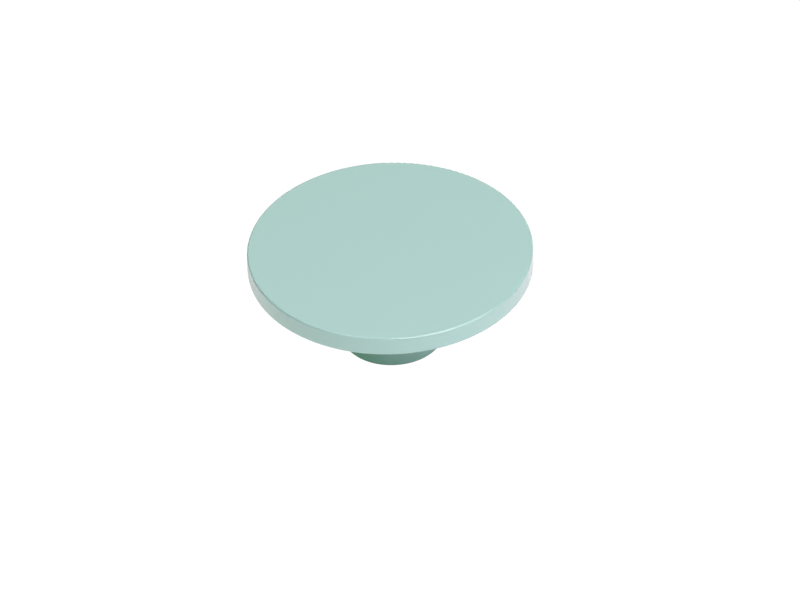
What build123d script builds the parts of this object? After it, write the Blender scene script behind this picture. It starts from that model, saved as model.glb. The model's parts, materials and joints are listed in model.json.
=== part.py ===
from build123d import *
from math import radians, tan
import os

# A round, flat cabinet knob: a thin disc on a narrow stem, turned as one piece.
# The origin is the centre of the stem's foot, which seats on the cabinet front.
# +Z runs along the stem's axis, away from the cabinet, to the face of the disc.
# All sizes are in millimetres.

# The disc that the fingers pull on.
disc_diameter = 50.0
disc_thickness = 3.5
front_edge_radius = 0.35
back_edge_radius = 0.2

# The stem that holds the disc clear of the cabinet front.
stem_diameter = 18.0
stem_length = 15.5
neck_fillet_radius = 0.8
foot_edge_radius = 0.3

# The blind hole in the foot, which is drilled, countersunk and tapped.
thread_diameter = 4.0
thread_pitch = 0.7
thread_depth = 10.0
drill_run_on = 2.0
drill_point_angle = 118.0
countersink_width = 0.2

# Radii and heights that follow from those sizes.
disc_radius = disc_diameter / 2
stem_radius = stem_diameter / 2
overall_height = stem_length + disc_thickness
thread_radius = thread_diameter / 2
drill_radius = (thread_diameter - thread_pitch) / 2
drill_depth = thread_depth + drill_run_on
drill_point_length = drill_radius / tan(radians(drill_point_angle / 2))
tap_lead_length = 1.5 * thread_pitch


def turned_blank():
    """The disc and its stem, from one half section turned about the Z axis."""
    corners = [
        (0, 0),
        (stem_radius, 0),
        (stem_radius, stem_length),
        (disc_radius, stem_length),
        (disc_radius, overall_height),
        (0, overall_height),
    ]
    corner_radii = [
        foot_edge_radius,
        neck_fillet_radius,
        back_edge_radius,
        front_edge_radius,
    ]
    with BuildPart() as blank:
        with BuildSketch(Plane.XZ):
            with BuildLine():
                outline = FilletPolyline(*corners, radius=corner_radii)
                Line(outline @ 1, outline @ 0)
            make_face()
        revolve(axis=Axis.Z)
    return blank.part


def screw_hole():
    """The space that the drill, the tap and the countersink clear, up from the foot.

    The threaded length is a plain bore of the thread's full diameter. Above it the
    tap's tapered lead narrows the bore to the drill's own diameter.
    """
    with BuildPart() as hole:
        with BuildSketch(Plane.XZ):
            with BuildLine():
                Polyline(
                    (0, 0),
                    (thread_radius + countersink_width, 0),
                    (thread_radius, countersink_width),
                    (thread_radius, thread_depth),
                    (drill_radius, thread_depth + tap_lead_length),
                    (drill_radius, drill_depth),
                    (0, drill_depth + drill_point_length),
                    close=True,
                )
            make_face()
        revolve(axis=Axis.Z)
    return hole.part


knob = turned_blank() - screw_hole()
knob.label = "knob"

os.makedirs("parts", exist_ok=True)
export_step(knob, "parts/knob.step")
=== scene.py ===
# %% [markdown]
# # A lacquered cabinet knob
# This lesson dresses a small turned knob: a flat disc on a narrow stem, 50 mm
# across and 19 mm high, in smooth mint-green lacquer. The real one is cut from
# a single bar of metal, so there is only one body here. It arrives finished
# from CAD, at its real size, and nothing in this file moves or reshapes it.
#
# What is left to Blender is what the hand and the eye notice: the lacquer, the
# bare metal that it leaves in the screw hole, the cut thread in that hole, and
# the light that runs along the disc's rounded edge.

# %% Load the frame
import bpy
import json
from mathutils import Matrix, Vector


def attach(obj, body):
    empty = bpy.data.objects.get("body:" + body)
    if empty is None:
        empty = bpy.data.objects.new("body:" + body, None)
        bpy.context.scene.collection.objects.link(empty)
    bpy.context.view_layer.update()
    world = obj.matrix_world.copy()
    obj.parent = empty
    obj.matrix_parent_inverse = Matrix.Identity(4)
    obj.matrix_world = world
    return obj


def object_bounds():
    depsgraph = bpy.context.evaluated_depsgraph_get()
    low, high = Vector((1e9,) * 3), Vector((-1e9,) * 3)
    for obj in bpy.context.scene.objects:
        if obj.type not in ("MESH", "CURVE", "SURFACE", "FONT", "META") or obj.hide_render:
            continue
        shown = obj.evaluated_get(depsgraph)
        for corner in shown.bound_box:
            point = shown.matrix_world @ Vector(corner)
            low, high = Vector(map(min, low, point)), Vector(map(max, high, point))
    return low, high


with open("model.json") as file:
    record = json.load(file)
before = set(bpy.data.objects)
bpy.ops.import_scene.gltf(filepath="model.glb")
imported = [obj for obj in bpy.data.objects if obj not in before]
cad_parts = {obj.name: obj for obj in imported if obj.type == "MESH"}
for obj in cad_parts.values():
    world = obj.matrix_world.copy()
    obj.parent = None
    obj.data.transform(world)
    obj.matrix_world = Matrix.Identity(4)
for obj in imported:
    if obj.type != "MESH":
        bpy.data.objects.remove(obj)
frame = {"nodes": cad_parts, "record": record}

cad_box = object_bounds()
knob = frame["nodes"]["knob"]
print("the knob's box is", cad_box)

# %% [markdown]
# ## Sizes
# Blender works in metres. Writing every size as a number of millimetres times
# `MM` keeps the lesson readable beside a drawing. What CAD already knows is
# read from the frame and not typed again: the disc's radius is half the box,
# and the screw hole's radius and length are in the record of its mount.

# %% Sizes from the frame
import json
import math

import bmesh
import bpy
from mathutils import Matrix, Vector

MM = 0.001
knob_height = cad_box[1].z
disc_radius = cad_box[1].x
screw_hole = next(m for m in frame["record"]["mounts"] if m["name"] == "screw_hole")
thread_radius = screw_hole["dims"]["r_mm"] * MM
threaded_length = screw_hole["dims"]["length_mm"] * MM
wall_start = screw_hole["pos_m"][2] - threaded_length / 2
wall_end = screw_hole["pos_m"][2] + threaded_length / 2
print("disc radius", disc_radius, "thread radius", thread_radius)
print("the threaded wall runs from", wall_start, "to", wall_end)

# %% [markdown]
# ## The screw thread
# The hole in the foot is tapped for a machine screw. CAD holds it as a plain
# bore of the thread's full diameter, so what is missing is the helical ridge
# of metal that the tap leaves standing between its grooves. It could be cut
# with a boolean, but that gives a ragged mesh. It could be a displacement, but
# that steps across the helix. Sweeping one section of the ridge along the
# helix gives clean rows of quads that follow the thread, so that is done here.
#
# The section is a metric one: 60 degrees between the flanks, a root nearly as
# wide as the pitch, and a flat crest where the tapping drill went through.

# %% The thread's section
THREAD_PITCH = 0.7 * MM
FLANK_SLOPE = math.tan(math.radians(30))
SEAT_DEPTH = 0.03 * MM

crest_radius = thread_radius - THREAD_PITCH / 2
root_width = THREAD_PITCH * 7 / 8
crest_width = root_width - 2 * FLANK_SLOPE * (thread_radius - crest_radius)


def ridge_section(height):
    """The ridge cut across, as corners in the XZ plane, centred on a height."""
    root = thread_radius + SEAT_DEPTH
    return [
        Vector((root, 0, height - root_width / 2)),
        Vector((crest_radius, 0, height - crest_width / 2)),
        Vector((crest_radius, 0, height + crest_width / 2)),
        Vector((root, 0, height + root_width / 2)),
    ]


print("the crest is", round(crest_width / MM, 3), "mm wide")

# %% [markdown]
# `bmesh.ops.spin` turns the section about the hole's axis. Its `dvec` lifts the
# section a little at every step, which makes the turn a helix. The sweep starts
# below the foot and is then sliced off, as the lathe tool does, so the thread
# begins without a step. It ends inside the metal where the bore narrows, so
# the ridge fades out there by itself, as behind a real tap.

# %% Sweep the ridge
STEPS_PER_TURN = 72
TAP_LEAD = 1.5 * THREAD_PITCH
SLICE_HEIGHT = 0.02 * MM


def swept_ridge():
    """The whole helical ridge as a closed bmesh."""
    start = -THREAD_PITCH / 2
    turns = (wall_end + TAP_LEAD - start) / THREAD_PITCH
    steps = round(turns * STEPS_PER_TURN)
    mesh = bmesh.new()
    corners = [mesh.verts.new(place) for place in ridge_section(start)]
    first = mesh.faces.new(corners)
    bmesh.ops.spin(
        mesh,
        geom=[first, *first.edges, *first.verts],
        cent=(0, 0, 0),
        axis=(0, 0, 1),
        dvec=(0, 0, THREAD_PITCH / STEPS_PER_TURN),
        angle=math.tau * steps / STEPS_PER_TURN,
        steps=steps,
        use_duplicate=False,
    )
    return mesh


ridge = swept_ridge()
print("the swept ridge has", len(ridge.faces), "faces")

# %% [markdown]
# The slice leaves an open end in the shape of a long, thin crescent round the
# hole. It is closed, and split into triangles straight away, because a face
# with many corners folds over itself when they move.
#
# The countersink at the mouth is a cone of 45 degrees, and it cuts the first
# turn away at a slant. In a cone like that the radius shrinks by as much as the
# height grows, so any corner of the ridge that lies inside it is pushed out to
# it. A hair more puts the pushed part just behind the countersink's surface.

# %% Slice and countersink the ridge
COUNTERSINK = 0.2 * MM
BEHIND = 0.01 * MM
ON_THE_PLANE = 1e-7

bmesh.ops.bisect_plane(
    ridge,
    geom=[*ridge.faces, *ridge.edges, *ridge.verts],
    dist=ON_THE_PLANE,
    plane_co=(0, 0, SLICE_HEIGHT),
    plane_no=(0, 0, -1),
    clear_outer=True,
)
open_end = [edge for edge in ridge.edges if edge.is_boundary]
crescent = bmesh.ops.holes_fill(ridge, edges=open_end)
bmesh.ops.triangulate(ridge, faces=crescent["faces"])
for corner in ridge.verts:
    radius = corner.co.xy.length
    cone_radius = thread_radius + COUNTERSINK - corner.co.z
    if radius < cone_radius:
        corner.co.xy *= (cone_radius + BEHIND) / radius
bmesh.ops.recalc_face_normals(ridge, faces=ridge.faces)
print("open edges left:", sum(e.is_boundary for e in ridge.edges))

# %% Make the thread a piece
SHARP_ANGLE = math.radians(25)


def finished_piece(name, mesh):
    """A bmesh as an object that rides on the knob."""
    data = bpy.data.meshes.new(name)
    mesh.to_mesh(data)
    mesh.free()
    data.shade_smooth()
    data.set_sharp_from_angle(angle=SHARP_ANGLE)
    piece = bpy.data.objects.new(name, data)
    bpy.context.scene.collection.objects.link(piece)
    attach(piece, "root")
    return piece


screw_thread = finished_piece("screw_thread", ridge)
print("screw_thread has", len(screw_thread.data.polygons), "faces")

# %% [markdown]
# ## Materials
# Node by node code is long, so one small helper adds a node, sets what is
# given, and joins its inputs. A value is set on the socket and a socket is
# linked to it, which keeps every material below to one line for each node.

# %% A helper for nodes
def add_node(tree, kind, inputs=None, **settings):
    """A node of this kind, with its settings and its inputs set or linked."""
    node = tree.nodes.new(kind)
    for name, value in settings.items():
        setattr(node, name, value)
    for name, value in (inputs or {}).items():
        socket = node.inputs[name]
        if isinstance(value, bpy.types.NodeSocket):
            tree.links.new(value, socket)
        else:
            socket.default_value = value
    return node


def new_group(name, inputs, outputs):
    """An empty shader node group with these named sockets."""
    group = bpy.data.node_groups.new(name, "ShaderNodeTree")
    for title, kind, value in inputs:
        socket = group.interface.new_socket(title, in_out="INPUT", socket_type=kind)
        socket.default_value = value
    for title, kind in outputs:
        group.interface.new_socket(title, in_out="OUTPUT", socket_type=kind)
    return group


def place_group(tree, group, **inputs):
    """A group placed in a material, with its inputs given by name."""
    node = tree.nodes.new("ShaderNodeGroup")
    node.node_tree = group
    for name, value in inputs.items():
        socket = node.inputs[name.replace("_", " ")]
        if isinstance(value, bpy.types.NodeSocket):
            tree.links.new(value, socket)
        else:
            socket.default_value = value
    return node


# %% [markdown]
# The knob is a turned thing, so where a point lies on it is best told by its
# distance from the axis and its height. Four more helpers keep sums like that
# short: one for numbers, one for vectors, one that gives a point's radius and
# height and the way outwards from the axis, and one that mixes two of a kind.
# A Mix node has a set of sockets for each kind, and only the numbers of the
# sockets tell them apart, so they are kept in one small table.

# %% Helpers for sums
def number(tree, operation, first, second):
    """One sum of two numbers, each a value or a socket."""
    node = add_node(
        tree, "ShaderNodeMath", {0: first, 1: second}, operation=operation
    )
    return node.outputs[0]


def vector(tree, operation, *values):
    """One sum of vectors, each a value or a socket."""
    node = add_node(
        tree, "ShaderNodeVectorMath", dict(enumerate(values)), operation=operation
    )
    name = "Value" if operation in ("LENGTH", "DOT_PRODUCT") else "Vector"
    return node.outputs[name]


def lathe_place(tree):
    """The radius, the height and the outward way of the point being shaded."""
    place = add_node(tree, "ShaderNodeTexCoord").outputs["Object"]
    flat = vector(tree, "MULTIPLY", place, (1, 1, 0))
    height = add_node(tree, "ShaderNodeSeparateXYZ", {"Vector": place}).outputs["Z"]
    return vector(tree, "LENGTH", flat), height, vector(tree, "NORMALIZE", flat)


MIX_SOCKETS = {"FLOAT": (2, 3, 0), "VECTOR": (4, 5, 1), "RGBA": (6, 7, 2)}


def mix(tree, kind, share, first, second):
    """Two numbers, vectors or colours, mixed by a share of the second."""
    one, two, result = MIX_SOCKETS[kind]
    node = add_node(
        tree, "ShaderNodeMix", {0: share, one: first, two: second}, data_type=kind
    )
    return node.outputs[result]


# %% [markdown]
# ### Cut metal
# Where the lacquer was kept out, the metal still shows how it was machined:
# fine rings round the hole's axis, each catching the light a little
# differently. The effect is used by the hole's wall and by the thread, so it
# is a node group: it stretches noise along the cut by reading only the radius
# and the height, and puts out a colour, a roughness and a height.

# %% The cut metal group
RING_WIDTH = 0.05 * MM
CUT_DARK = (0.66, 0.67, 0.68, 1)
CUT_BRIGHT = (0.86, 0.87, 0.88, 1)
CUT_SMOOTH = 0.24
CUT_ROUGH = 0.42


def cut_metal_group():
    """Fine turned rings about the Z axis, as colour, roughness and height."""
    group = new_group(
        "cut_metal",
        [("Ring Width", "NodeSocketFloat", RING_WIDTH)],
        [
            ("Color", "NodeSocketColor"),
            ("Roughness", "NodeSocketFloat"),
            ("Height", "NodeSocketFloat"),
        ],
    )
    enter = group.nodes.new("NodeGroupInput")
    leave = group.nodes.new("NodeGroupOutput")
    radius, height, _ = lathe_place(group)
    across = add_node(group, "ShaderNodeCombineXYZ", {"X": radius, "Z": height})
    rings = add_node(
        group,
        "ShaderNodeTexNoise",
        {
            "Vector": across.outputs[0],
            "Scale": number(group, "DIVIDE", 1.0, enter.outputs["Ring Width"]),
            "Detail": 3.0,
        },
    )
    pattern = rings.outputs["Fac"]
    color = mix(group, "RGBA", pattern, CUT_DARK, CUT_BRIGHT)
    rough = add_node(
        group,
        "ShaderNodeMapRange",
        {"Value": pattern, "To Min": CUT_SMOOTH, "To Max": CUT_ROUGH},
    )
    group.links.new(color, leave.inputs["Color"])
    group.links.new(rough.outputs["Result"], leave.inputs["Roughness"])
    group.links.new(pattern, leave.inputs["Height"])
    return group


cut_metal = cut_metal_group()
print("cut_metal has", len(cut_metal.nodes), "nodes")

# %% The bare metal material
RING_DEPTH = 0.004 * MM


def bare_metal_material():
    """Freshly cut aluminium, for the thread."""
    material = bpy.data.materials.new("bare_metal")
    material.use_nodes = True
    tree = material.node_tree
    shader = tree.nodes["Principled BSDF"]
    cut = place_group(tree, cut_metal)
    bump = add_node(
        tree,
        "ShaderNodeBump",
        {"Height": cut.outputs["Height"], "Distance": RING_DEPTH},
    )
    tree.links.new(cut.outputs["Color"], shader.inputs["Base Color"])
    tree.links.new(cut.outputs["Roughness"], shader.inputs["Roughness"])
    tree.links.new(bump.outputs["Normal"], shader.inputs["Normal"])
    shader.inputs["Metallic"].default_value = 1.0
    return material


screw_thread.data.materials.append(bare_metal_material())
print("screw_thread is dressed in", screw_thread.data.materials[0].name)

# %% [markdown]
# ### The disc's true normals
# A mesh keeps one averaged normal at each corner, and across the narrow
# rounding of the disc's edge the averages wander by several degrees. The eye
# doesn't see that in the shape, but a highlight that runs along the edge turns
# ragged. The mesh isn't changed here. The disc was turned on a lathe, so its
# true normal follows from the radius and the height alone. Measured from the
# circle where a rounding begins, it points outwards by how far the surface lies
# beyond that circle, and along the axis by how far it lies past it. On the flat
# face only the second part is left, and on the rim only the first. The stem and
# the hole keep the mesh's own normals. The frame doesn't give the disc's
# thickness and its two roundings, so they are written here from the drawing.

# %% The disc's normal
FRONT_EDGE_RADIUS = 0.35 * MM
BACK_EDGE_RADIUS = 0.2 * MM
DISC_THICKNESS = 3.5 * MM
NECK_CLEARANCE = 12 * MM
disc_back = knob_height - DISC_THICKNESS
print("the disc's back is", disc_back, "above the foot")


def disc_normal(tree):
    """The exact normal on the disc, and the mesh's own everywhere else."""
    radius, height, outward = lathe_place(tree)
    middle = (knob_height + disc_back) / 2
    in_front = number(tree, "GREATER_THAN", height, middle)
    edge = mix(tree, "FLOAT", in_front, BACK_EDGE_RADIUS, FRONT_EDGE_RADIUS)
    edge_start = number(tree, "SUBTRACT", disc_radius, edge)
    beyond = number(tree, "SUBTRACT", radius, edge_start)
    out = number(tree, "MAXIMUM", beyond, 0.0)
    front_start = knob_height - FRONT_EDGE_RADIUS
    back_start = disc_back + BACK_EDGE_RADIUS
    up = number(tree, "MAXIMUM", number(tree, "SUBTRACT", height, front_start), 0.0)
    down = number(tree, "MAXIMUM", number(tree, "SUBTRACT", back_start, height), 0.0)
    along = add_node(
        tree, "ShaderNodeCombineXYZ", {"Z": number(tree, "SUBTRACT", up, down)}
    )
    sideways = vector(tree, "MULTIPLY", outward, out)
    exact = vector(tree, "ADD", sideways, along.outputs[0])
    turned = add_node(
        tree,
        "ShaderNodeVectorTransform",
        {0: vector(tree, "NORMALIZE", exact)},
        vector_type="NORMAL",
        convert_from="OBJECT",
        convert_to="WORLD",
    )
    off_the_neck = number(tree, "GREATER_THAN", radius, NECK_CLEARANCE)
    on_the_disc = number(tree, "MAXIMUM", in_front, off_the_neck)
    own = add_node(tree, "ShaderNodeNewGeometry").outputs["Normal"]
    return mix(tree, "VECTOR", on_the_disc, own, turned.outputs[0])


# %% [markdown]
# ### Mint lacquer
# The knob has a satin colour coat under a clear lacquer, and the two shine in
# different ways. The colour coat spreads a light so wide that it only turns
# the disc paler towards it. The clear lacquer is smoother, so it draws the
# same light as a thin line along the rounded edge. It is a hard, bright lacquer,
# so it mirrors a little more than common varnish does. The Principled shader has
# both: its own roughness for the colour, and a coat on top. The coat doesn't
# follow the shader's Normal, so the disc's true normal is joined to both layers.
#
# The colour is flat, with only a breath of unevenness. The wet film also drew
# itself into very low waves before it set, which a painter calls orange peel.
# They are far too low to see on the flat, and only soften long reflections.
#
# The knob was sprayed with a plug in the screw hole. Inside the plug's radius
# the same material is bare cut metal without a coat, with a mask from the
# radius and the height telling the two apart.

# %% Lacquer values
MINT = (0.299, 0.517, 0.463, 1)
MINT_DEEPER = (0.293, 0.509, 0.456, 1)
CLOUDS_PER_METRE = 90.0
COLOUR_ROUGHNESS = 0.4
COLOUR_IOR = 1.5
CLEAR_ROUGHNESS = 0.15
CLEAR_IOR = 1.62
PEEL_WIDTH = 1.1 * MM
PEEL_HEIGHT = 0.0006 * MM
PLUG_LIP = 0.35 * MM
PLUG_RADIUS = thread_radius + COUNTERSINK + PLUG_LIP
PLUG_HEIGHT = knob_height * 0.75
print("the lacquer starts", PLUG_RADIUS, "from the axis")


# %% The mask of the screw hole
def plug_mask(tree):
    """1 inside the radius of the plug that kept the lacquer out, and 0 elsewhere."""
    radius, height, _ = lathe_place(tree)
    near = number(tree, "LESS_THAN", radius, PLUG_RADIUS)
    low = number(tree, "LESS_THAN", height, PLUG_HEIGHT)
    return number(tree, "MULTIPLY", near, low)


# %% The lacquer material
def lacquer_material():
    """Stoved mint lacquer, with cut metal where the plug sat."""
    material = bpy.data.materials.new("mint_lacquer_finish")
    material.use_nodes = True
    tree = material.node_tree
    shader = tree.nodes["Principled BSDF"]
    place = add_node(tree, "ShaderNodeTexCoord").outputs["Object"]
    mask = plug_mask(tree)
    cut = place_group(tree, cut_metal)

    cloud = add_node(
        tree,
        "ShaderNodeTexNoise",
        {"Vector": place, "Scale": CLOUDS_PER_METRE, "Detail": 2.0},
    )
    paint = mix(tree, "RGBA", cloud.outputs["Fac"], MINT_DEEPER, MINT)
    color = mix(tree, "RGBA", mask, paint, cut.outputs["Color"])
    rough = mix(tree, "FLOAT", mask, COLOUR_ROUGHNESS, cut.outputs["Roughness"])
    coat = number(tree, "SUBTRACT", 1.0, mask)
    peel = add_node(
        tree,
        "ShaderNodeTexNoise",
        {"Vector": place, "Scale": 1 / PEEL_WIDTH, "Detail": 1.0},
    )
    waves = add_node(
        tree,
        "ShaderNodeBump",
        {
            "Height": peel.outputs["Fac"],
            "Distance": PEEL_HEIGHT,
            "Normal": disc_normal(tree),
        },
    )
    tree.links.new(color, shader.inputs["Base Color"])
    tree.links.new(rough, shader.inputs["Roughness"])
    tree.links.new(mask, shader.inputs["Metallic"])
    tree.links.new(coat, shader.inputs["Coat Weight"])
    for layer in ("Normal", "Coat Normal"):
        tree.links.new(waves.outputs["Normal"], shader.inputs[layer])
    shader.inputs["IOR"].default_value = COLOUR_IOR
    shader.inputs["Coat Roughness"].default_value = CLEAR_ROUGHNESS
    shader.inputs["Coat IOR"].default_value = CLEAR_IOR
    return material


knob.material_slots[0].material = lacquer_material()
print("the knob is dressed in", knob.material_slots[0].material.name)

# %% [markdown]
# ## The studio
# The knob is shown alone on pure white. The floor that it stands on is white
# card under the studio lights, so it throws real light back up at the rim and
# the stem. The rim mirrors the card more and more towards its two sides, so how
# bright the card is there shows. The card also carries painted light. Its left
# side glows a little in a green tint, which stands in for the knob's own colour
# coming back from the card next to it. The card in front of the stem lies in the
# disc's shade, and it gets a faint painted green glow of its own, since the
# photo's stem is the greenest part of all. A faint painted pink glow at the back
# left is mirrored only by the rim's far left tip.
#
# What the camera sees of the card is bleached to plain white, as a photographer
# does when the background is cut away. Seen from below, the card lets the view
# through to the foot. The foot itself would be black there, since it stands on
# the card and shuts out the light, so the card has a glowing patch beneath it
# that is smaller than the foot and can't be seen from above. The card lies a
# hair lower than the foot, since two faces in exactly the same plane fight over
# which one is seen. It is one big face, and Blender splits such a face in two
# along a diagonal. It lies to one side so that the diagonal, where the light
# changes by a trace, doesn't cross the foot.

# %% The fading light of one side
def one_side(tree, look, toward, fade, strength):
    """Strength that falls from full, in one direction, to nothing at its sides."""
    along = vector(tree, "DOT_PRODUCT", look, Vector(toward).normalized())
    ahead = number(tree, "MAXIMUM", along, 0.0)
    faded = number(tree, "POWER", ahead, fade)
    return number(tree, "MULTIPLY", faded, strength)


# %% The floor
FLOOR_SIZE = 4.0
FLOOR_SHIFT = 0.7
FLOOR_DROP = 0.05 * MM
CARD_WHITE = (0.79, 0.79, 0.79, 1)
# CARD_GLOW, SHADE_GLOW, TIP_GLOW and PATCH_GLOW are painted light: glows on the card,
# which is no lamp.
CARD_GLOW = (0.64, 1.0, 0.66, 1)
GLOW_TOWARD = (-1, -0.25, 0)
GLOW_STRENGTH = 0.265
SHADE_RADIUS = 20 * MM
SHADE_GLOW = (0.0, 1.0, 0.33, 1)
SHADE_TOWARD = (0, -1, 0)
SHADE_STRENGTH = 0.072
TIP_GLOW = (1.0, 0.35, 0.8, 1)
TIP_TOWARD = (-1, 0.35, 0)
TIP_FADE = 3.0
TIP_STRENGTH = 0.075
PATCH_RADIUS = 8.7 * MM
PATCH_GLOW = 0.5
PLAIN_WHITE = (1, 1, 1, 1)
BLEACH = 1.05


def floor_material():
    """White card with painted glows, seen by the knob; plain white to the camera; clear
    from below.
    """
    material = bpy.data.materials.new("studio_card")
    material.use_nodes = True
    tree = material.node_tree
    tree.nodes.remove(tree.nodes["Principled BSDF"])
    output = tree.nodes["Material Output"]
    place = add_node(tree, "ShaderNodeTexCoord").outputs["Object"]
    look = vector(tree, "NORMALIZE", place)
    # Painted light: the card's left side glows green, standing in for the knob's colour
    # bounced back.
    left_side = one_side(tree, look, GLOW_TOWARD, 1.0, GLOW_STRENGTH)
    card = add_node(tree, "ShaderNodeBsdfDiffuse", {"Color": CARD_WHITE})
    radius = vector(tree, "LENGTH", place)
    # Painted light: a glowing patch under the foot lights it when seen from below.
    under_foot = number(tree, "LESS_THAN", radius, PATCH_RADIUS)
    # Painted light: a faint green glow on the card in the disc's shade, in front of the
    # stem.
    under_disc = number(tree, "LESS_THAN", radius, SHADE_RADIUS)
    front = one_side(tree, look, SHADE_TOWARD, 1.0, SHADE_STRENGTH)
    color = mix(tree, "RGBA", under_foot, CARD_GLOW, PLAIN_WHITE)
    strength = mix(tree, "FLOAT", under_foot, left_side, PATCH_GLOW)
    glow = add_node(
        tree, "ShaderNodeEmission", {"Color": color, "Strength": strength}
    )
    shade = add_node(
        tree,
        "ShaderNodeEmission",
        {"Color": SHADE_GLOW, "Strength": number(tree, "MULTIPLY", under_disc, front)},
    )
    # Painted light: a faint pink glow at the back left, mirrored in the rim's far left
    # tip.
    back_left = one_side(tree, look, TIP_TOWARD, TIP_FADE, TIP_STRENGTH)
    tip = add_node(
        tree, "ShaderNodeEmission", {"Color": TIP_GLOW, "Strength": back_left}
    )
    lit = card.outputs[0]
    for light in (glow, shade, tip):
        both = add_node(tree, "ShaderNodeAddShader", {0: lit, 1: light.outputs[0]})
        lit = both.outputs[0]
    bleached = add_node(tree, "ShaderNodeEmission", {"Strength": BLEACH})
    clear = add_node(tree, "ShaderNodeBsdfTransparent")
    path = add_node(tree, "ShaderNodeLightPath")
    side = add_node(tree, "ShaderNodeNewGeometry")
    seen = add_node(
        tree,
        "ShaderNodeMixShader",
        {0: path.outputs["Is Camera Ray"], 1: lit, 2: bleached.outputs[0]},
    )
    both_sides = add_node(
        tree,
        "ShaderNodeMixShader",
        {0: side.outputs["Backfacing"], 1: seen.outputs[0], 2: clear.outputs[0]},
    )
    tree.links.new(both_sides.outputs[0], output.inputs["Surface"])
    return material


def studio_floor():
    """A plain level sheet under the knob, which isn't part of it."""
    mesh = bmesh.new()
    bmesh.ops.create_grid(
        mesh,
        x_segments=1,
        y_segments=1,
        size=FLOOR_SIZE / 2,
        matrix=Matrix.Translation((FLOOR_SHIFT, 0, -FLOOR_DROP)),
    )
    data = bpy.data.meshes.new("studio_floor")
    mesh.to_mesh(data)
    mesh.free()
    floor = bpy.data.objects.new("studio_floor", data)
    bpy.context.scene.collection.objects.link(floor)
    floor.data.materials.append(floor_material())
    return floor


print("the floor is", studio_floor().dimensions.x, "m wide")

# %% [markdown]
# ### Lights
# A glossy thing is lit by what it mirrors, so the studio is built of large soft
# sources. The room itself gives one broad wash from behind, which pales the far
# part of the disc. It fades with the angle from its middle, by the same sum as
# the card's glow. The camera sees the room as plain white.

# %% The white room
ROOM_COLOR = (0.97, 1.0, 0.9, 1)
ROOM_TOWARD = (0, 1, 0.8)
ROOM_FADE = 3.0
ROOM_STRENGTH = 0.69


def white_room():
    """A world that is plain white to the camera and a soft wash to the knob."""
    world = bpy.data.worlds.new("white_room")
    bpy.context.scene.world = world
    world.use_nodes = True
    tree = world.node_tree
    output = tree.nodes["World Output"]
    look = add_node(tree, "ShaderNodeTexCoord").outputs["Generated"]
    behind = one_side(tree, look, ROOM_TOWARD, ROOM_FADE, ROOM_STRENGTH)
    room = add_node(
        tree, "ShaderNodeBackground", {"Color": ROOM_COLOR, "Strength": behind}
    )
    backdrop = tree.nodes["Background"]
    backdrop.inputs["Color"].default_value = PLAIN_WHITE
    backdrop.inputs["Strength"].default_value = BLEACH
    path = add_node(tree, "ShaderNodeLightPath")
    seen = add_node(
        tree,
        "ShaderNodeMixShader",
        {0: path.outputs["Is Camera Ray"], 1: room.outputs[0], 2: backdrop.outputs[0]},
    )
    tree.links.new(seen.outputs[0], output.inputs["Surface"])
    return world


print("the world is", white_room().name)

# %% [markdown]
# Five soft boxes do the rest, all aimed at the middle of the disc. Three wide
# ones stand side by side in front and to the right, each dimmer than the last,
# and their mirror image is the bright line along the front of the edge: one
# narrow box would give a short glint instead. A small one on the left keeps that
# side of the rim alive, and a big round one overhead lights the face evenly.
# The lamps are a little pink against the room, as the line in the photo is.
#
# How bright a soft box looks in a reflection is its power shared over its area,
# so the function takes that brightness and works out the power from the size.

# %% The soft boxes
LAMP_COLOR = (0.985, 0.885, 0.95)
LAMP_DISTANCE = 0.8


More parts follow.
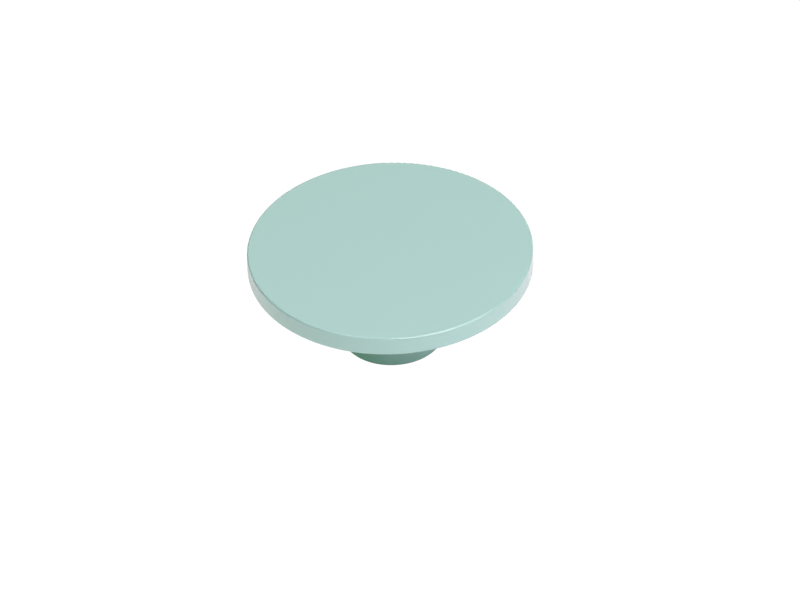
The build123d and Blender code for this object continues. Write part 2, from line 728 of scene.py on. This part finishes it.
def soft_box(name, turn, rise, width, height, glow, shape="RECTANGLE"):
    """An area light that stands off from the disc and is aimed at it.

    turn is degrees to the right of straight in front, rise is degrees up, and
    glow is how bright its face looks, where 1 is white.
    """
    light = bpy.data.lights.new(name, "AREA")
    light.shape = shape
    light.size = width
    light.size_y = height
    light.color = LAMP_COLOR
    area = width * height * (1 if shape == "RECTANGLE" else math.pi / 4)
    light.energy = glow * math.pi * area
    box = bpy.data.objects.new(name, light)
    bpy.context.scene.collection.objects.link(box)
    target = Vector((0, 0, knob_height))
    way = Vector((
        math.sin(math.radians(turn)) * math.cos(math.radians(rise)),
        -math.cos(math.radians(turn)) * math.cos(math.radians(rise)),
        math.sin(math.radians(rise)),
    ))
    box.location = target + way * LAMP_DISTANCE
    box.rotation_mode = "QUATERNION"
    box.rotation_quaternion = way.to_track_quat("Z", "Y")
    print(name, "gives", round(light.energy, 2), "W")


soft_box("key_light", turn=30, rise=48, width=0.5, height=0.3, glow=10.65)
soft_box("key_neighbour", turn=58, rise=43, width=0.5, height=0.3, glow=4.8)
soft_box("key_end", turn=72, rise=42, width=0.5, height=0.3, glow=1.6)
soft_box("left_fill", turn=-40, rise=50, width=0.3, height=0.3, glow=3.6, shape="DISK")
soft_box("overhead", turn=180, rise=75, width=0.7, height=0.7, glow=1.53, shape="DISK")

# %% [markdown]
# ### Camera
# The photographer stood well back with a long lens and looked down at about 39
# degrees, so the circle of the disc shows as an even ellipse. The camera also
# leaned by two degrees. The point that falls in the middle of the picture lies
# a little in front of the knob's axis and to its right, which is what sets the
# knob slightly up and to the left of the centre.

# %% The camera
CAMERA_DISTANCE = 1250 * MM
CAMERA_RISE = math.radians(38.6)
CAMERA_LEAN = math.radians(-1.93)
CAMERA_LENS = 322.4
PICTURE_CENTRE = Vector((1.456, -5.589, 11.999)) * MM


def studio_camera():
    """The camera at the photographer's place."""
    data = bpy.data.cameras.new("studio_camera")
    data.lens = CAMERA_LENS
    data.sensor_width = 36
    data.clip_start = 0.05
    data.clip_end = 20
    camera = bpy.data.objects.new("studio_camera", data)
    bpy.context.scene.collection.objects.link(camera)
    tilt = Matrix.Rotation(math.pi / 2 - CAMERA_RISE, 4, "X")
    lean = Matrix.Rotation(CAMERA_LEAN, 4, "Z")
    back = Matrix.Translation((0, 0, CAMERA_DISTANCE))
    camera.matrix_world = Matrix.Translation(PICTURE_CENTRE) @ tilt @ lean @ back
    bpy.context.scene.camera = camera
    return camera


print("the camera stands at", studio_camera().matrix_world.translation)
bpy.context.scene.view_settings.view_transform = "Standard"
